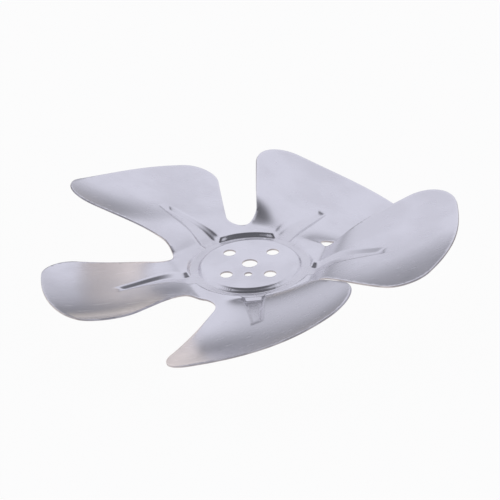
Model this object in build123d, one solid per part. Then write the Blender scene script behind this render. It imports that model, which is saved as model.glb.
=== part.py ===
from build123d import *
import os
from math import atan2, comb, cos, hypot, radians, sin, tan

# Five-blade axial fan impeller, pressed from one aluminium sheet.
# Frame: +Z is the shaft axis, the origin is the centre of the flat hub face,
# and the motor side is below it. Lengths are in millimetres, angles in degrees.

# ---- sheet and plan outline -------------------------------------------------
sheet = 0.75                # thickness of the pressed sheet
tip_diameter = 172.0        # circle that the blade tips are trimmed to
blade_count = 5
first_rib_angle = 55.2      # direction of the first blade's rib, from +X
gap_floor_radius = 32.8     # nearest point of each gap to the axis
gap_floor_round = 6.6       # radius of the gap's rounded floor
gap_lead = 1.8              # gap centreline, ahead of midway between two ribs
low_side_flare = 1.4        # a gap opens by this angle along a blade's low edge
high_side_flare = 5.9       # and by this angle along a blade's raised edge
low_corner_round = 11.5     # tip corner on the low side of a blade
high_corner_round = 15.0    # tip corner on the raised side of a blade

# ---- hub --------------------------------------------------------------------
disc_radius = 20.3          # flat seat inside the pressed ring
ring_width = 5.6            # pressed ring, measured across its rims
ring_depth = 1.9
ring_wall_run = 1.0         # sideways run of each sloping ring wall
bore_diameter = 6.5
bolt_circle = 25.4
bolt_count = 4
bolt_hole_diameter = 5.2
bolt_turn = 39.3            # direction of the first bolt hole, from +X
pin_hole_diameter = 3.3
pin_hole_radius = 9.0       # locating hole, midway between two bolt holes
pin_hole_turn = -95.7

# ---- blade form -------------------------------------------------------------
# Each blade rises from a fold line square to its rib. Beyond the fold the blade
# is one Bezier patch: its control rows lie at row_reach beyond the fold, its
# control columns at column_offset to the side of the rib, and lift gives the
# height of each point. The raised side climbs a steep step just past the fold.
fold_distance = 27.1        # fold line, measured from the axis
row_reach = [0.0, 2.0, 5.0, 10.0, 18.0, 34.0, 59.5]
column_offset = [-49.0, -16.3, 16.3, 49.0]
lift = [
    [0.0, 0.0, 0.0, 0.0],
    [0.0, 0.0, 0.0, 0.0],
    [1.0, -0.5, 2.5, 11.0],
    [-0.5, -3.0, 7.0, 28.5],
    [-3.0, -5.5, 7.0, 28.5],
    [-4.0, -3.0, 1.5, 21.0],
    [1.5, 7.0, 4.0, 31.0],
]
# The five blades have been bent out of true. Each entry is one blade's own
# rise in degrees, twist in degrees, curl and tilt: the twist, curl and tilt
# are what it has gained at bend_arm out along the rib or to the side of it.
bend_arm = 50.0
blade_set = [
    (-20.0, -3.0, 7.0, 5.5),
    (1.0, 2.5, 1.5, -1.5),
    (-4.0, 3.0, 0.0, -6.5),
    (5.5, -2.5, -1.5, 6.5),
    (19.5, 0.0, -6.5, -10.5),
]

# ---- stiffening ribs --------------------------------------------------------
# A tapering trough is pressed down along each blade, open to the hub ring.
rib_end = 57.0              # where the trough has run out
rib_root_width = 10.0       # across the rims at the ring
rib_tip_width = 4.8         # across the rims near the rounded end
rib_tip_depth = 1.5
rib_wall_angle = 58.0       # slope of the trough's side walls
rib_runout = 3.0            # length over which the end rises to the surface
rib_stations = [0.0, 3.0, 7.0, 15.0]    # sections of the trough, beyond the fold
rib_headroom = 2.0          # height to which the trough's cavity clears the face

# ---- derived ----------------------------------------------------------------
tip_radius = tip_diameter / 2
pitch_angle = 360 / blade_count
gap_angle = pitch_angle / 2 + gap_lead
rim_radius = disc_radius + ring_width
gap_centre = gap_floor_radius + gap_floor_round
far = 2 * tip_radius        # clears the whole part
skin = 0.3 * sheet          # pressed walls start this far below the top face


def polar(radius, angle):
    return (radius * cos(radians(angle)), radius * sin(radians(angle)))


# ---- plan outline -----------------------------------------------------------
def gap_side(side, flare):
    """Near and far end of one straight side of a gap whose centreline is +X."""
    near_x = gap_centre - gap_floor_round * sin(radians(flare))
    near_y = gap_floor_round * cos(radians(flare))
    far_y = near_y + far * tan(radians(flare))
    return (near_x, side * near_y), (near_x + far, side * far_y)


def gap_cutter():
    """Rounded slot between a blade's raised edge and the next one's low edge."""
    near_high, far_high = gap_side(-1, high_side_flare)
    near_low, far_low = gap_side(1, low_side_flare)
    wedge = make_face(Polyline(near_high, far_high, far_low, near_low, close=True))
    return Pos(gap_centre, 0) * Circle(gap_floor_round) + wedge


def tip_corners(plan):
    """The plan's vertices on the tip circle, low side of the blade first."""
    on_circle = [v for v in plan.vertices() if hypot(v.X, v.Y) > tip_radius - 0.01]
    return sorted(on_circle, key=lambda v: v.Y)


def sector_plan():
    """One fifth of the sheet's plan, its rib on +X and its gaps half each side."""
    side_angles = (gap_angle - pitch_angle, gap_angle)
    wedge = make_face(Polyline(
        (0, 0), polar(far, side_angles[0]), polar(far, side_angles[1]), close=True,
    ))
    plan = Circle(tip_radius) & wedge
    for angle in side_angles:
        plan -= Rot(Z=angle) * gap_cutter()
    plan = fillet(tip_corners(plan)[0], low_corner_round)
    return fillet(tip_corners(plan)[-1], high_corner_round)


# ---- blade patch ------------------------------------------------------------
def control_net(rise, twist, curl, tilt):
    """Control points of one blade's top face."""
    net = []
    for row, (reach, heights) in enumerate(zip(row_reach, lift)):
        points = []
        for side, height in zip(column_offset, heights):
            if row > 1:
                slope = tan(radians(rise)) + tan(radians(twist)) * side / bend_arm
                height += reach * slope
                height += curl * (reach / bend_arm) ** 2 + tilt * side / bend_arm
            points.append((fold_distance + reach, side, height))
        net.append(points)
    return net


def bernstein(degree, index, t):
    return comb(degree, index) * t**index * (1 - t) ** (degree - index)


def top_height(net, along, side):
    """Height of the top face at a distance from the axis and from the rib line."""
    if along <= fold_distance:
        return 0.0
    rows = len(net) - 1
    columns = len(net[0]) - 1

    def reach_at(t):
        return sum(bernstein(rows, i, t) * net[i][0][0] for i in range(rows + 1))

    low, high = 0.0, 1.0
    for _ in range(40):
        t = (low + high) / 2
        if reach_at(t) < along:
            low = t
        else:
            high = t
    across = (side - column_offset[0]) / (column_offset[-1] - column_offset[0])
    return sum(
        bernstein(rows, i, t) * bernstein(columns, j, across) * net[i][j][2]
        for i in range(rows + 1) for j in range(columns + 1)
    )


# ---- pressed troughs --------------------------------------------------------
def ring_trough(grow):
    """Annular trough around the hub disc, its walls moved outward by grow."""
    slope = atan2(ring_depth, ring_wall_run)
    widen = grow / sin(slope)
    top = -skin if grow else sheet
    floor = -ring_depth - grow
    inner, outer = disc_radius - widen, rim_radius + widen
    profile = make_face(Polyline(
        (inner - top / tan(slope), top),
        (inner - floor / tan(slope), floor),
        (outer + floor / tan(slope), floor),
        (outer + top / tan(slope), top),
        close=True,
    ))
    return revolve(Plane.XZ * profile, Axis.Z)


def rib_trough(net, grow):
    """Tapering trough along one blade, its walls moved outward by grow."""
    slope = radians(rib_wall_angle)
    full_end = rib_end - rib_runout
    start = rim_radius - ring_width / 2
    stations = [start]
    stations += [fold_distance + reach for reach in rib_stations]
    stations += [full_end, rib_end]
    sections = []
    for station in stations:
        share = (station - rim_radius) / (full_end - rim_radius)
        width = rib_root_width + share * (rib_tip_width - rib_root_width)
        depth = ring_depth + max(share, 0) * (rib_tip_depth - ring_depth)
        along = station
        if station == rib_end:
            width, depth = 0.5 * rib_tip_width, 0.1 * rib_tip_depth
            along += grow
        corners = []
        for side in (-1, 1):
            rim = top_height(net, along, side * width / 2)
            half = width / 2 + grow / sin(slope)
            inset = (depth + grow) / tan(slope)
            spread = rib_headroom / tan(slope)
            floor = (side * (half - inset), rim - depth - grow)
            roof = (side * (half + spread), rim + rib_headroom)
            corners += [floor, roof] if side > 0 else [roof, floor]
        place = Plane(origin=(along, 0, 0), x_dir=(0, 1, 0), z_dir=(1, 0, 0))
        sections.append(place * make_face(Polyline(*corners, close=True)))
    return loft(sections, ruled=True)


# ---- one blade with its share of the hub ------------------------------------
beyond_fold = Pos(fold_distance + far, 0) * Rectangle(2 * far, 2 * far)
plan = sector_plan()
flat_plan = plan - beyond_fold
blade_plan = plan & beyond_fold


def make_sector(net):
    """Sheet of one fifth of the impeller and the cavity of its rib."""
    top_face = Face.make_bezier_surface(net)
    up = Vector(0, 0, 1)
    blade = Solid.thicken(top_face, -sheet, normal_override=up)
    blade = blade & extrude(blade_plan, far, both=True)
    flat = extrude(flat_plan, -sheet)
    drop = 4 * ring_depth
    below = Pos(0, 0, -skin) * extrude(flat_plan, -drop)
    below += Pos(0, 0, -skin) * extrude(top_face, drop, dir=(0, 0, -1))
    walls = rib_trough(net, sheet) & below
    return [flat, blade, walls], rib_trough(net, 0)


# ---- assembly of the one sheet ----------------------------------------------
impeller = ring_trough(sheet)
cavities = [ring_trough(0)]
for k, bends in enumerate(blade_set):
    turn = Rot(Z=first_rib_angle + k * pitch_angle)
    pieces, cavity = make_sector(control_net(*bends))
    for piece in pieces:
        impeller += turn * piece
    cavities.append(turn * cavity)
for cavity in cavities:
    impeller -= cavity

# ---- holes ------------------------------------------------------------------
impeller -= Cylinder(bore_diameter / 2, far)
for k in range(bolt_count):
    x, y = polar(bolt_circle / 2, bolt_turn + k * 360 / bolt_count)
    impeller -= Pos(x, y) * Cylinder(bolt_hole_diameter / 2, far)
pin_x, pin_y = polar(pin_hole_radius, pin_hole_turn)
impeller -= Pos(pin_x, pin_y) * Cylinder(pin_hole_diameter / 2, far)

impeller.label = "impeller"
os.makedirs("parts", exist_ok=True)
export_step(impeller, "parts/impeller.step")
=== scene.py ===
from math import atan2, ceil, comb, cos, pi, radians, sin, sqrt, tan

import bpy
import numpy as np
from mathutils import Matrix, Vector
from mathutils.geometry import delaunay_2d_cdt


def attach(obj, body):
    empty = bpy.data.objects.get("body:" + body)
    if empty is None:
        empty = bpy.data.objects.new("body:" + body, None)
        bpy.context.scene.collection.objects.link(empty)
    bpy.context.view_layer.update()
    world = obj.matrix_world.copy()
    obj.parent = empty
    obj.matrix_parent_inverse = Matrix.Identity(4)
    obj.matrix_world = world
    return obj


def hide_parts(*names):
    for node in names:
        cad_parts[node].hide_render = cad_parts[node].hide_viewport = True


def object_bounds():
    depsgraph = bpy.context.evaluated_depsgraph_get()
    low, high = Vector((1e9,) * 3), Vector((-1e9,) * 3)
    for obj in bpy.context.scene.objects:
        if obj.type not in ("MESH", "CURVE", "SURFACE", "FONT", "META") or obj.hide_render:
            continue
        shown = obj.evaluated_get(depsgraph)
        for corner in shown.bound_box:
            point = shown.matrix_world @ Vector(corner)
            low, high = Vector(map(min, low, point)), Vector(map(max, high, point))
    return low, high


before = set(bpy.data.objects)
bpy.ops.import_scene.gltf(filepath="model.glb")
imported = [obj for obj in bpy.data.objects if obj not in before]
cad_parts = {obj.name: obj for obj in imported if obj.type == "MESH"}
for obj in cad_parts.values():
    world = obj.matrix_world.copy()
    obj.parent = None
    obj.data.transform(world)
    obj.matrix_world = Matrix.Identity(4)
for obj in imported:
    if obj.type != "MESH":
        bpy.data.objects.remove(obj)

cad_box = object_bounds()
scene = bpy.context.scene

# ---- camera -----------------------------------------------------------------
# A long lens looks down on the impeller from 30 degrees, rolled a little to the
# left, so the shaft axis leans in the frame.
look_down = radians(29.80)
distance = 1.0009
roll = radians(3.89)
right = Vector((1, 0, 0))
up = Vector((0, sin(look_down), cos(look_down)))
back = Vector((0, -cos(look_down), sin(look_down)))
camera_right = cos(roll) * right - sin(roll) * up
camera_up = sin(roll) * right + cos(roll) * up
camera_data = bpy.data.cameras.new("camera")
camera_data.lens = 174.9
camera_data.sensor_width = 36.0
camera_data.shift_x = 0.0006        # the frame's centre lies a little above the hub
camera_data.shift_y = 0.0261
camera = bpy.data.objects.new("camera", camera_data)
scene.collection.objects.link(camera)
turn = Matrix((camera_right, camera_up, back)).transposed().to_4x4()
camera.matrix_world = Matrix.Translation(back * distance) @ turn
scene.camera = camera

# ---- impeller ---------------------------------------------------------------
# One satin aluminium pressing: a flat blank is punched, its five blades are
# raised from fold lines round the hub, and a ring and five ribs are pressed in.
mm = 0.001
sheet = 0.75
tip_radius = 86.0
blade_count = 5
pitch_angle = 360 / blade_count
first_rib_angle = 55.2
gap_floor_radius = 32.8
gap_floor_round = 6.6
gap_angle = pitch_angle / 2 + 1.8
gap_centre = gap_floor_radius + gap_floor_round
low_side_flare = radians(1.4)
high_side_flare = radians(5.9)
low_corner_round = 11.5
high_corner_round = 15.0
disc_radius = 20.3
ring_width = 5.6
ring_depth = 1.9
rim_radius = disc_radius + ring_width
ring_middle = disc_radius + ring_width / 2
bore_radius = 3.25
screw_circle_radius = 12.7
screw_hole_radius = 2.6
first_screw_angle = 39.3
pin_circle_radius = 9.0
pin_hole_radius = 1.65
pin_angle = -95.7
holes = [(0.0, 0.0, bore_radius)]
for k in range(4):
    angle = radians(first_screw_angle + 90 * k)
    holes.append((screw_circle_radius * cos(angle), screw_circle_radius * sin(angle),
                  screw_hole_radius))
angle = radians(pin_angle)
holes.append((pin_circle_radius * cos(angle), pin_circle_radius * sin(angle),
              pin_hole_radius))

edge_step = 1.0             # spacing of the points along a cut edge
mesh_step = 1.15            # spacing of the points inside the sheet
bend_step = 0.42            # spacing across a pressed bend


def arc(centre, radius, start, end):
    """Points along an arc, its end left out."""
    count = max(2, ceil(abs(end - start) * radius / edge_step))
    angles = start + (end - start) * np.arange(count) / count
    spokes = np.stack((np.cos(angles), np.sin(angles)), axis=1)
    return np.asarray(centre) + radius * spokes


def straight(start, end):
    count = max(2, ceil(np.linalg.norm(end - start) / edge_step))
    share = (np.arange(count) / count)[:, None]
    return start + (end - start) * share


def turned(points, angle):
    c, s = cos(angle), sin(angle)
    return points @ np.array(((c, s), (-s, c)))


def gap_edge(side, flare):
    """Foot and outward direction of one side of a gap whose centreline is +X."""
    foot = np.array((gap_centre - gap_floor_round * sin(flare),
                     side * gap_floor_round * cos(flare)))
    return foot, np.array((cos(flare), side * sin(flare)))


def tip_round(foot, along, inward, radius):
    """Centre of a tip corner, and where it leaves the gap's side."""
    base = foot + inward * radius
    reach = base @ along
    run = -reach + sqrt(reach**2 - base @ base + (tip_radius - radius) ** 2)
    return base + along * run, foot + along * run


def bearing(vector):
    return atan2(vector[1], vector[0])


def blade_outline(k):
    """Cut edge of blade k, from the gap before it to the floor of the next."""
    before = radians(first_rib_angle + gap_angle + pitch_angle * (k - 1))
    after = before + radians(pitch_angle)
    foot, along = gap_edge(1, low_side_flare)
    foot, along = turned(foot, before), turned(along, before)
    inward = turned(along, pi / 2)
    centre, leave = tip_round(foot, along, inward, low_corner_round)
    points = [straight(foot, leave)]
    start, end = bearing(-inward), bearing(centre)
    points.append(arc(centre, low_corner_round, start, start + (end - start) % (2 * pi)))
    tip_start = bearing(centre)
    foot, along = gap_edge(-1, high_side_flare)
    foot, along = turned(foot, after), turned(along, after)
    inward = turned(along, -pi / 2)
    centre, leave = tip_round(foot, along, inward, high_corner_round)
    tip_end = tip_start + (bearing(centre) - tip_start) % (2 * pi)
    points.append(arc((0, 0), tip_radius, tip_start, tip_end))
    start, end = bearing(centre), bearing(-inward)
    points.append(arc(centre, high_corner_round, start, start + (end - start) % (2 * pi)))
    points.append(straight(leave, foot))
    middle = turned(np.array((gap_centre, 0.0)), after)
    start = after - pi / 2 - high_side_flare
    end = after - 3 * pi / 2 + low_side_flare
    points.append(arc(middle, gap_floor_round, start, end))
    return np.concatenate(points)


outline = np.concatenate([blade_outline(k) for k in range(blade_count)])
loops = [outline] + [arc((x, y), radius, 0, 2 * pi) for x, y, radius in holes]


def inside(points, loop):
    """Which points lie inside a closed loop, by the crossings to their right."""
    within = np.zeros(len(points), bool)
    for (x0, y0), (x1, y1) in zip(loop, np.roll(loop, -1, axis=0)):
        if y0 != y1:
            spans = (points[:, 1] < y0) != (points[:, 1] < y1)
            crossing = x0 + (points[:, 1] - y0) * (x1 - x0) / (y1 - y0)
            within ^= spans & (points[:, 0] < crossing)
    return within


def in_sheet(points):
    kept = inside(points, outline)
    for x, y, radius in holes:
        kept &= np.hypot(points[:, 0] - x, points[:, 1] - y) > radius
    return kept


def rib_frame(points):
    """Blade number, distance along its rib and distance to the rib's side."""
    angle = np.degrees(np.arctan2(points[:, 1], points[:, 0])) - first_rib_angle
    blade = np.floor((angle - gap_angle) / pitch_angle) + 1
    local = np.radians(angle - blade * pitch_angle)
    reach = np.hypot(points[:, 0], points[:, 1])
    return blade.astype(int) % blade_count, reach * np.cos(local), reach * np.sin(local)


# Points of the blank: circles round the ring, rows along each rib, and an even
# triangle pattern on the rest.
rib_root_width = 10.0
rib_tip_width = 4.8
rib_end = 57.0
rib_full_end = rib_end - 3.0
rib_margin = 1.9            # the rows of a rib reach this far past its rims
rib_overrun = 1.6           # and this far past its end
rib_lanes = 27
points = []
ring_from, ring_to = disc_radius - 1.2, rim_radius + 1.3
for row, radius in enumerate(np.arange(ring_from, ring_to, bend_step)):
    points.append(turned(arc((0, 0), radius, 0, 2 * pi), row * 0.013))


def rib_half_width(along):
    share = (along - rim_radius) / (rib_full_end - rim_radius)
    return (rib_root_width + share * (rib_tip_width - rib_root_width)) / 2


def triangle_pattern(step, half_size):
    columns = np.arange(-half_size, half_size, step)
    lines = np.arange(-half_size, half_size, step * sqrt(3) / 2)
    x, y = np.meshgrid(columns, lines)
    x[1::2] += step / 2
    return np.stack((x.ravel(), y.ravel()), axis=1)


def in_mouth(points, margin):
    """Where a rib opens into the ring, the points lie in a fine even pattern."""
    _, along, side = rib_frame(points)
    reach = np.hypot(points[:, 0], points[:, 1])
    near_rib = np.abs(side) < rib_half_width(along) + rib_margin + margin
    return near_rib & (reach > ring_middle - margin) & (along < ring_to + 1.5 + margin)


points = [ring[~in_mouth(ring, 0.25)] for ring in points]
mouth = triangle_pattern(bend_step, ring_to + 5)
points.append(mouth[in_mouth(mouth, 0)])
rows = np.arange(ring_to + 1.9, rib_end + rib_overrun, 1.0)
lanes = np.linspace(-1, 1, rib_lanes)
for k in range(blade_count):
    along, lane = np.meshgrid(rows, lanes, indexing="ij")
    side = lane * (rib_half_width(along) + rib_margin)
    rib_points = np.stack((along.ravel(), side.ravel()), axis=1)
    points.append(turned(rib_points, radians(first_rib_angle + pitch_angle * k)))
field = triangle_pattern(mesh_step, tip_radius)
_, along, side = rib_frame(field)
reach = np.hypot(field[:, 0], field[:, 1])
clear_ring = (reach < ring_from - 0.5 * mesh_step) | (reach > ring_to + 0.3 * mesh_step)
clear_rib = np.abs(side) > rib_half_width(along) + rib_margin + 0.5 * mesh_step
clear_rib |= (along < ring_to) | (along > rib_end + rib_overrun)
points.append(field[clear_ring & clear_rib])
points = np.concatenate(points)
points = points[in_sheet(points)]
edge_points = np.concatenate(loops)
near = np.full(len(points), np.inf)
for x, y in edge_points:
    near = np.minimum(near, (points[:, 0] - x) ** 2 + (points[:, 1] - y) ** 2)
points = points[near > (0.62 * edge_step) ** 2]

edges = []
start = 0
for loop in loops:
    count = len(loop)
    edges += [(start + i, start + (i + 1) % count) for i in range(count)]
    start += count
plan = [Vector(p) for p in np.concatenate((edge_points, points))]
plan, _, faces, _, _, _ = delaunay_2d_cdt(plan, edges, [], 0, 1e-6)
plan = np.array([tuple(p) for p in plan])
faces = np.array(faces)
faces = faces[in_sheet(plan[faces].mean(axis=1))]

# Height of the raised blades: one Bezier patch each, bent by its own amounts.
fold_distance = 27.1
row_reach = [0.0, 2.0, 5.0, 10.0, 18.0, 34.0, 59.5]
half_span = 49.0
lift = [
    [0.0, 0.0, 0.0, 0.0],
    [0.0, 0.0, 0.0, 0.0],
    [1.0, -0.5, 2.5, 11.0],
    [-0.5, -3.0, 7.0, 28.5],
    [-3.0, -5.5, 7.0, 28.5],
    [-4.0, -3.0, 1.5, 21.0],
    [1.5, 7.0, 4.0, 31.0],
]
bend_arm = 50.0
blade_set = [
    (-20.0, -3.0, 7.0, 5.5),
    (1.0, 2.5, 1.5, -1.5),
    (-4.0, 3.0, 0.0, -6.5),
    (5.5, -2.5, -1.5, 6.5),
    (19.5, 0.0, -6.5, -10.5),
]


def bernstein(degree, index, t):
    return comb(degree, index) * t**index * (1 - t) ** (degree - index)


def blade_height(reach, side, bends):
    """Height of one blade's top face, past its fold line."""
    rise, twist, curl, tilt = bends
    low, high = np.zeros(len(reach)), np.ones(len(reach))
    for _ in range(30):
        t = (low + high) / 2
        short = sum(bernstein(6, i, t) * row_reach[i] for i in range(7)) < reach
        low, high = np.where(short, t, low), np.where(short, high, t)
    across = (side + half_span) / (2 * half_span)
    height = 0
    for i, row in enumerate(lift):
        for j, raised in enumerate(row):
            if i > 1:
                column = half_span * (2 * j / 3 - 1)
                slope = tan(radians(rise)) + tan(radians(twist)) * column / bend_arm
                raised += row_reach[i] * slope + tilt * column / bend_arm
                raised += curl * (row_reach[i] / bend_arm) ** 2
            height = height + bernstein(6, i, t) * bernstein(3, j, across) * raised
    return height


blade, along, side = rib_frame(plan)
heights = np.zeros(len(plan))
for k, bends in enumerate(blade_set):
    own = (blade == k) & (along > fold_distance)
    heights[own] = blade_height(along[own] - fold_distance, side[own], bends)

# Shallow dents and swells of each blade, one row each: blade, place along its rib
# and to its side, radius, and height.
swells = [
    (2, 66.0, 2.0, 26.0, 1.1),
    (0, 44.0, 16.0, 9.0, 1.2),
]
swell_reach = 2.5           # in radii, past which a swell has died away
for k, centre_along, centre_side, radius, height in swells:
    gap = np.hypot(along - centre_along, side - centre_side) / radius
    near = (blade == k) & (gap < swell_reach)
    heights[near] += height * np.exp(-gap[near] ** 2)

blank = bpy.data.meshes.new("blank")
flat = np.column_stack((plan, np.zeros(len(plan)))) * mm
blank.from_pydata(flat.tolist(), [], faces.tolist())
blank.attributes.new("raised", "FLOAT", "POINT").data.foreach_set("value", heights * mm)
from_edge = np.full(len(plan), np.inf)
for x, y in edge_points:
    from_edge = np.minimum(from_edge, np.hypot(plan[:, 0] - x, plan[:, 1] - y))
blank.attributes.new("from_edge", "FLOAT", "POINT").data.foreach_set("value", from_edge)
piece = bpy.data.objects.new("pressed_impeller", blank)
scene.collection.objects.link(piece)

# Marks that both finishes share: rolling grain along X, faint scratches, the
# smudges of handling, and the rub along the cut edges. Noise scales are per
# metre, and the rub's width is in millimetres.
marks = bpy.data.node_groups.new("sheet_marks", "ShaderNodeTree")
for name in ("Grain Scale", "Smudge Scale", "Rub Width"):
    marks.interface.new_socket(name, in_out="INPUT", socket_type="NodeSocketFloat")
for name in ("Grain", "Scratches", "Smudges", "Rub"):
    marks.interface.new_socket(name, in_out="OUTPUT", socket_type="NodeSocketFloat")
nodes, links = marks.nodes, marks.links
entry = nodes.new("NodeGroupInput").outputs
leave = nodes.new("NodeGroupOutput").inputs
on_piece = nodes.new("ShaderNodeTexCoord").outputs["Object"]


def stretched_noise(stretch, turn_z, detail, scale):
    """Noise on the piece's own coordinates, drawn out along one direction."""
    spread = nodes.new("ShaderNodeMapping")
    spread.inputs["Scale"].default_value = stretch
    spread.inputs["Rotation"].default_value = (0, 0, radians(turn_z))
    links.new(on_piece, spread.inputs["Vector"])
    noise = nodes.new("ShaderNodeTexNoise")
    noise.inputs["Detail"].default_value = detail
    if isinstance(scale, float):
        noise.inputs["Scale"].default_value = scale
    else:
        links.new(scale, noise.inputs["Scale"])
    links.new(spread.outputs[0], noise.inputs["Vector"])
    return noise.outputs["Fac"]


def faded(value, low, high):
    """A value carried from low..high to 0..1 with soft ends."""
    fade = nodes.new("ShaderNodeMapRange")
    fade.interpolation_type = "SMOOTHSTEP"
    fade.inputs["From Min"].default_value = low
    fade.inputs["From Max"].default_value = high
    links.new(value, fade.inputs["Value"])
    return fade.outputs["Result"]


grain = stretched_noise((0.05, 1, 0.3), 0, 3, entry["Grain Scale"])
links.new(grain, leave["Grain"])
scratches = stretched_noise((0.03, 1, 0.5), 28, 1, 1100.0)
links.new(faded(scratches, 0.68, 0.76), leave["Scratches"])
smudges = stretched_noise((1, 1, 1), 0, 4, entry["Smudge Scale"])
links.new(faded(smudges, 0.38, 0.66), leave["Smudges"])
edge_gap = nodes.new("ShaderNodeAttribute")
edge_gap.attribute_name = "from_edge"
rub = nodes.new("ShaderNodeMapRange")
rub.interpolation_type = "SMOOTHSTEP"
rub.inputs["To Min"].default_value = 1.0
rub.inputs["To Max"].default_value = 0.0
links.new(edge_gap.outputs["Fac"], rub.inputs["Value"])
links.new(entry["Rub Width"], rub.inputs["From Max"])
links.new(rub.outputs["Result"], leave["Rub"])


def blend_value(base, *terms):
    """A base number plus masks, each times its own gain."""
    total = base
    for mask, gain in terms:
        node = nodes.new("ShaderNodeMath")
        node.operation = "MULTIPLY_ADD"
        links.new(mask, node.inputs[0])
        node.inputs[1].default_value = gain
        if isinstance(total, float):
            node.inputs[2].default_value = total
        else:
            links.new(total, node.inputs[2])
        total = node.outputs[0]
    return total


def blend_colour(clean, soiled, mask):
    """One colour carried to another where a mask is 1."""
    mix = nodes.new("ShaderNodeMix")
    mix.data_type = "RGBA"
    links.new(mask, mix.inputs["Factor"])
    if isinstance(clean, tuple):
        mix.inputs["A"].default_value = clean
    else:
        links.new(clean, mix.inputs["A"])
    mix.inputs["B"].default_value = soiled
    return mix.outputs["Result"]


def metal_finish(name, grain_scale, smudge_scale, rub_width):
    """A metal material with the shared marks placed in it."""
    finish = bpy.data.materials.new(name)
    finish.use_nodes = True
    tree = finish.node_tree
    tree.nodes["Principled BSDF"].inputs["Metallic"].default_value = 1.0
    placed = tree.nodes.new("ShaderNodeGroup")
    placed.node_tree = marks
    placed.inputs["Grain Scale"].default_value = grain_scale
    placed.inputs["Smudge Scale"].default_value = smudge_scale
    placed.inputs["Rub Width"].default_value = rub_width
    return finish, tree.nodes, tree.links, placed.outputs


def bump_from(height, depth, strength, shader):
    """Relief of the given depth in metres, fed to a shader's normal."""
    bump = nodes.new("ShaderNodeBump")
    bump.inputs["Strength"].default_value = strength
    bump.inputs["Distance"].default_value = depth
    links.new(height, bump.inputs["Height"])
    links.new(bump.outputs[0], shader.inputs["Normal"])


# Rolled face: satin aluminium, a little dulled where fingers and the press's oil
# have been, darkened in the floors of the pressings as painted shade, and burnished
# at its edges.
clean_metal = (0.860, 0.852, 0.880, 1)
handled_metal = (0.800, 0.790, 0.815, 1)
# painted shade: a darker colour for the floors of the ring and ribs
painted_pressing_shade = (0.700, 0.685, 0.700, 1)
rubbed_metal = (0.93, 0.92, 0.93, 1)
rolled, nodes, links, mark = metal_finish("rolled_aluminium", 900.0, 42.0, 1.6)
shader = nodes["Principled BSDF"]
depth_in = nodes.new("ShaderNodeAttribute")
depth_in.attribute_name = "pressed_in"
pressing_floor_mask = faded(depth_in.outputs["Fac"], 0.55, 1.1)
colour = blend_colour(clean_metal, handled_metal, mark["Smudges"])
# painted shade: the deeper a point lies in the ring or a rib, the darker its colour
colour = blend_colour(colour, painted_pressing_shade, blend_value(0.0, (pressing_floor_mask, 0.35)))
colour = blend_colour(colour, rubbed_metal, blend_value(0.0, (mark["Rub"], 0.4)))
links.new(colour, shader.inputs["Base Color"])
links.new(blend_value(0.17, (mark["Smudges"], 0.07), (mark["Grain"], 0.04),
                      (pressing_floor_mask, 0.05), (mark["Scratches"], 0.10)),
          shader.inputs["Roughness"])
bump_from(blend_value(0.0, (mark["Grain"], 0.6), (mark["Scratches"], -1.0)),
          0.00001, 0.05, shader)

# Sheared edge: the torn grain of the blanking cut runs through the thickness. Its
# colours are also kept far darker than the rolled face, as painted shade on the cut
# edges.
# painted shade: both edge colours are darkened, besides the torn grain's own dullness
torn_edge_and_painted_shade = (0.46, 0.45, 0.48, 1)
smeared_edge_and_painted_shade = (0.62, 0.61, 0.64, 1)
sheared, nodes, links, mark = metal_finish("sheared_edge", 2400.0, 160.0, 0.3)
shader = nodes["Principled BSDF"]
colour = blend_colour(torn_edge_and_painted_shade, smeared_edge_and_painted_shade, mark["Smudges"])
links.new(colour, shader.inputs["Base Color"])
links.new(blend_value(0.34, (mark["Grain"], 0.14), (mark["Smudges"], -0.06)),
          shader.inputs["Roughness"])
bump_from(mark["Grain"], 0.00002, 0.5, shader)

# Pressing tree: sets each point at its blade's height, then sinks the hub ring
# and the ribs with rounded bends. Lengths are in metres, angles in radians.
press = bpy.data.node_groups.new("press_ring_and_ribs", "GeometryNodeTree")
press.interface.new_socket("Geometry", in_out="INPUT", socket_type="NodeSocketGeometry")
press.interface.new_socket("Geometry", in_out="OUTPUT", socket_type="NodeSocketGeometry")
press_sizes = {
    "First Rib Angle": radians(first_rib_angle),
    "Pitch Angle": radians(pitch_angle),
    "Gap Angle": radians(gap_angle),
    "Ring Middle": ring_middle * mm,
    "Ring Width": ring_width * mm,
    "Ring Depth": ring_depth * mm,
    "Rim Radius": rim_radius * mm,
    "Rib End": rib_end * mm,
    "Rib Full End": rib_full_end * mm,
    "Rib Root Width": rib_root_width * mm,
    "Rib Tip Width": rib_tip_width * mm,
    "Rib Tip Depth": 1.5 * mm,
    "Ring Wall Slope": 1.9,
    "Rib Wall Slope": 1.15,
    "Rib End Slope": 0.7,
    "Nose Round": 1.2 * mm,
    "Corner Round": 1.5 * mm,
    "Rim Bend": 1.3 * mm,
    "Floor Bend": 0.9 * mm,
}
for name in press_sizes:
    press.interface.new_socket(name, in_out="INPUT", socket_type="NodeSocketFloat")
press.interface.new_socket("Finish", in_out="INPUT", socket_type="NodeSocketMaterial")
entry = press.nodes.new("NodeGroupInput").outputs


def calc(operation, *values):
    """One math node of the pressing tree, fed with sockets or plain numbers."""
    node = press.nodes.new("ShaderNodeMath")
    node.operation = operation
    for socket, value in zip(node.inputs, values):
        if isinstance(value, bpy.types.NodeSocket):
            press.links.new(value, socket)
        else:
            socket.default_value = value
    return node.outputs[0]


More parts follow.
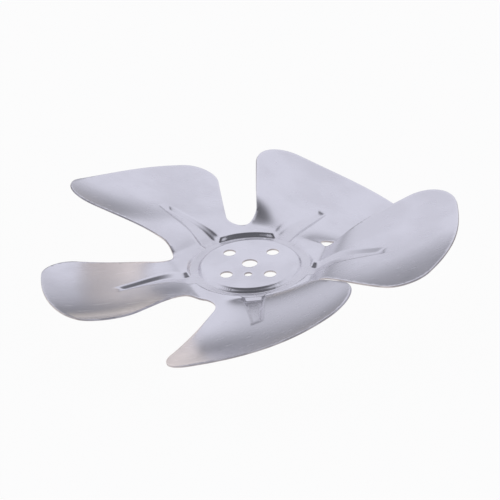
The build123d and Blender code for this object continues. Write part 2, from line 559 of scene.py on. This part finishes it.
place = press.nodes.new("GeometryNodeInputPosition")
split = press.nodes.new("ShaderNodeSeparateXYZ")
press.links.new(place.outputs[0], split.inputs[0])
x, y = split.outputs["X"], split.outputs["Y"]
reach = calc("SQRT", calc("ADD", calc("MULTIPLY", x, x), calc("MULTIPLY", y, y)))
angle = calc("SUBTRACT", calc("ARCTAN2", y, x), entry["First Rib Angle"])
sector = calc("DIVIDE", calc("SUBTRACT", angle, entry["Gap Angle"]), entry["Pitch Angle"])
sector = calc("ADD", calc("FLOOR", sector), 1.0)
local = calc("SUBTRACT", angle, calc("MULTIPLY", sector, entry["Pitch Angle"]))
along = calc("MULTIPLY", reach, calc("COSINE", local))
side = calc("ABSOLUTE", calc("MULTIPLY", reach, calc("SINE", local)))
from_middle = calc("ABSOLUTE", calc("SUBTRACT", reach, entry["Ring Middle"]))
in_ring = calc("SUBTRACT", calc("MULTIPLY", entry["Ring Width"], 0.5), from_middle)
full_run = calc("SUBTRACT", entry["Rib Full End"], entry["Rim Radius"])
share = calc("DIVIDE", calc("SUBTRACT", along, entry["Rim Radius"]), full_run)
taper = calc("SUBTRACT", entry["Rib Tip Width"], entry["Rib Root Width"])
width = calc("ADD", entry["Rib Root Width"], calc("MULTIPLY", share, taper))
in_rib = calc("SUBTRACT", calc("MULTIPLY", width, 0.5), side)
rib_wall = calc("MULTIPLY", in_rib, entry["Rib Wall Slope"])
to_end = calc("SUBTRACT", entry["Rib End"], along)
rib_nose = calc("MULTIPLY", to_end, entry["Rib End Slope"])
rib_wall = calc("SMOOTH_MIN", rib_wall, rib_nose, entry["Nose Round"])
rib_wall = calc("MINIMUM", rib_wall, calc("SUBTRACT", along, entry["Ring Middle"]))
ring_wall = calc("MULTIPLY", in_ring, entry["Ring Wall Slope"])
depth = calc("SMOOTH_MAX", ring_wall, rib_wall, entry["Corner Round"])
shallower = calc("SUBTRACT", entry["Rib Tip Depth"], entry["Ring Depth"])
share = calc("MINIMUM", calc("MAXIMUM", share, 0.0), 1.0)
full_depth = calc("ADD", entry["Ring Depth"], calc("MULTIPLY", share, shallower))
depth = calc("SMOOTH_MAX", depth, 0.0, entry["Rim Bend"])
depth = calc("SMOOTH_MIN", depth, full_depth, entry["Floor Bend"])
raised = press.nodes.new("GeometryNodeInputNamedAttribute")
raised.data_type = "FLOAT"
raised.inputs["Name"].default_value = "raised"
pressed = press.nodes.new("ShaderNodeCombineXYZ")
press.links.new(x, pressed.inputs["X"])
press.links.new(y, pressed.inputs["Y"])
press.links.new(calc("SUBTRACT", raised.outputs[0], depth), pressed.inputs["Z"])
move = press.nodes.new("GeometryNodeSetPosition")
press.links.new(entry["Geometry"], move.inputs["Geometry"])
press.links.new(pressed.outputs[0], move.inputs["Position"])
keep_depth = press.nodes.new("GeometryNodeStoreNamedAttribute")
keep_depth.data_type = "FLOAT"
keep_depth.domain = "POINT"
keep_depth.inputs["Name"].default_value = "pressed_in"
press.links.new(move.outputs[0], keep_depth.inputs["Geometry"])
press.links.new(calc("DIVIDE", depth, entry["Ring Depth"]), keep_depth.inputs["Value"])
realize = press.nodes.new("GeometryNodeRealizeInstances")
press.links.new(keep_depth.outputs[0], realize.inputs[0])
finish = press.nodes.new("GeometryNodeSetMaterial")
press.links.new(realize.outputs[0], finish.inputs["Geometry"])
press.links.new(entry["Finish"], finish.inputs["Material"])
leave = press.nodes.new("NodeGroupOutput")
press.links.new(finish.outputs[0], leave.inputs[0])

pressing = piece.modifiers.new("pressing", "NODES")
pressing.node_group = press
for item in press.interface.items_tree:
    if item.in_out == "INPUT" and item.name in press_sizes:
        pressing[item.identifier] = press_sizes[item.name]
    elif item.name == "Finish":
        pressing[item.identifier] = rolled
shaped = piece.evaluated_get(bpy.context.evaluated_depsgraph_get())
sheet_mesh = bpy.data.meshes.new_from_object(shaped)
piece.modifiers.remove(pressing)
sheet_mesh.name = "pressed_impeller"
piece.data = sheet_mesh
sheet_mesh.materials.clear()
sheet_mesh.materials.append(rolled)
sheet_mesh.materials.append(sheared)
sheet_mesh.polygons.foreach_set("use_smooth", [True] * len(sheet_mesh.polygons))
sheet_mesh.update()

thickness = piece.modifiers.new("thickness", "SOLIDIFY")
thickness.thickness = sheet * mm
thickness.offset = -1.0
thickness.use_quality_normals = True
thickness.material_offset_rim = 1
burnish = piece.modifiers.new("burnished_edges", "BEVEL")
burnish.limit_method = "ANGLE"
burnish.angle_limit = radians(50)
burnish.width = 0.12 * mm
burnish.segments = 2

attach(piece, "root")
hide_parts("impeller")

# ---- floor and studio -------------------------------------------------------
# A sheet of warm white paper lies under the lowest blade tips. A soft, cooler
# surround falls off to a darker opening above and in front of the piece, and to
# a darker horizon behind it.
bpy.ops.mesh.primitive_plane_add(size=6.0, location=(0, 0, cad_box[0].z))
floor = bpy.context.object
floor.name = "floor"
paper = bpy.data.materials.new("floor_paper")
paper.use_nodes = True
nodes, links = paper.node_tree.nodes, paper.node_tree.links
fibre = nodes["Principled BSDF"]
fibre.inputs["Base Color"].default_value = (0.90, 0.89, 0.88, 1)
fibre.inputs["Roughness"].default_value = 0.9
glow = nodes.new("ShaderNodeEmission")
ray = nodes.new("ShaderNodeLightPath").outputs
warmth = nodes.new("ShaderNodeMix")
warmth.data_type = "RGBA"
warmth.inputs["A"].default_value = (1.0, 0.92, 0.88, 1)
warmth.inputs["B"].default_value = (1.0, 1.0, 1.0, 1)
links.new(ray["Is Camera Ray"], warmth.inputs["Factor"])
links.new(warmth.outputs["Result"], glow.inputs["Color"])
sees_paper = nodes.new("ShaderNodeMath")
sees_paper.operation = "MAXIMUM"
links.new(ray["Is Camera Ray"], sees_paper.inputs[0])
links.new(ray["Is Glossy Ray"], sees_paper.inputs[1])
share = nodes.new("ShaderNodeMath")          # the rest stays shaded, for the shadow
share.operation = "MULTIPLY"
share.inputs[1].default_value = 0.95
links.new(sees_paper.outputs[0], share.inputs[0])
on_floor = nodes.new("ShaderNodeTexCoord").outputs["Object"]
spot = nodes.new("ShaderNodeVectorMath")     # mirrored, the paper dims at its ends
spot.operation = "LENGTH"
links.new(on_floor, spot.inputs[0])
paper_end = nodes.new("ShaderNodeMapRange")
paper_end.interpolation_type = "SMOOTHSTEP"
paper_end.inputs["From Min"].default_value = 0.09
paper_end.inputs["From Max"].default_value = 0.22
paper_end.inputs["To Min"].default_value = 1.0
paper_end.inputs["To Max"].default_value = 0.45
links.new(spot.outputs["Value"], paper_end.inputs["Value"])
brightness = nodes.new("ShaderNodeMath")
brightness.operation = "MAXIMUM"
links.new(paper_end.outputs["Result"], brightness.inputs[0])
links.new(ray["Is Camera Ray"], brightness.inputs[1])
links.new(brightness.outputs[0], glow.inputs["Strength"])
blend = nodes.new("ShaderNodeMixShader")
links.new(share.outputs[0], blend.inputs["Fac"])
links.new(fibre.outputs[0], blend.inputs[1])
links.new(glow.outputs[0], blend.inputs[2])
links.new(blend.outputs[0], nodes["Material Output"].inputs["Surface"])
floor.data.materials.append(paper)

world = bpy.data.worlds.new("studio")
scene.world = world
world.use_nodes = True
nodes, links = world.node_tree.nodes, world.node_tree.links
towards = nodes.new("ShaderNodeTexCoord").outputs["Generated"]


def soft_patch(azimuth, elevation, spread, core, gain):
    """How much one soft-edged patch takes from the surround's level."""
    a, e = radians(azimuth), radians(elevation)
    offset = nodes.new("ShaderNodeVectorMath")
    offset.operation = "SUBTRACT"
    links.new(towards, offset.inputs[0])
    offset.inputs[1].default_value = (cos(e) * cos(a), cos(e) * sin(a), sin(e))
    scaled = nodes.new("ShaderNodeVectorMath")
    scaled.operation = "DIVIDE"
    links.new(offset.outputs[0], scaled.inputs[0])
    scaled.inputs[1].default_value = spread
    length = nodes.new("ShaderNodeVectorMath")
    length.operation = "LENGTH"
    links.new(scaled.outputs[0], length.inputs[0])
    fade = nodes.new("ShaderNodeMapRange")
    fade.interpolation_type = "SMOOTHSTEP"
    links.new(length.outputs["Value"], fade.inputs["Value"])
    fade.inputs["From Min"].default_value = core
    fade.inputs["From Max"].default_value = 1.0
    fade.inputs["To Min"].default_value = gain
    fade.inputs["To Max"].default_value = 0.0
    return fade.outputs["Result"]


opening = soft_patch(-90, 62, (0.9, 0.95, 0.7), 0.6, 0.64)
far_horizon = soft_patch(94, 3, (0.65, 0.6, 0.31), 0.2, 0.52)
surround_level = 0.76
level = surround_level
for patch in (opening, far_horizon):
    darker = nodes.new("ShaderNodeMath")
    darker.operation = "SUBTRACT"
    if isinstance(level, float):
        darker.inputs[0].default_value = level
    else:
        links.new(level, darker.inputs[0])
    links.new(patch, darker.inputs[1])
    level = darker.outputs[0]
camera_sees = nodes.new("ShaderNodeLightPath").outputs["Is Camera Ray"]
seen = nodes.new("ShaderNodeMath")
seen.operation = "MAXIMUM"
links.new(level, seen.inputs[0])
links.new(camera_sees, seen.inputs[1])
cool_white = (0.97, 0.975, 1.10, 1)
plain_white = (1, 1, 1, 1)
tint = nodes.new("ShaderNodeMix")
tint.data_type = "RGBA"
tint.inputs["A"].default_value = cool_white
tint.inputs["B"].default_value = plain_white
links.new(camera_sees, tint.inputs["Factor"])
surround = nodes["Background"]
links.new(tint.outputs["Result"], surround.inputs["Color"])
links.new(seen.outputs[0], surround.inputs["Strength"])

scene.view_settings.view_transform = "Standard"
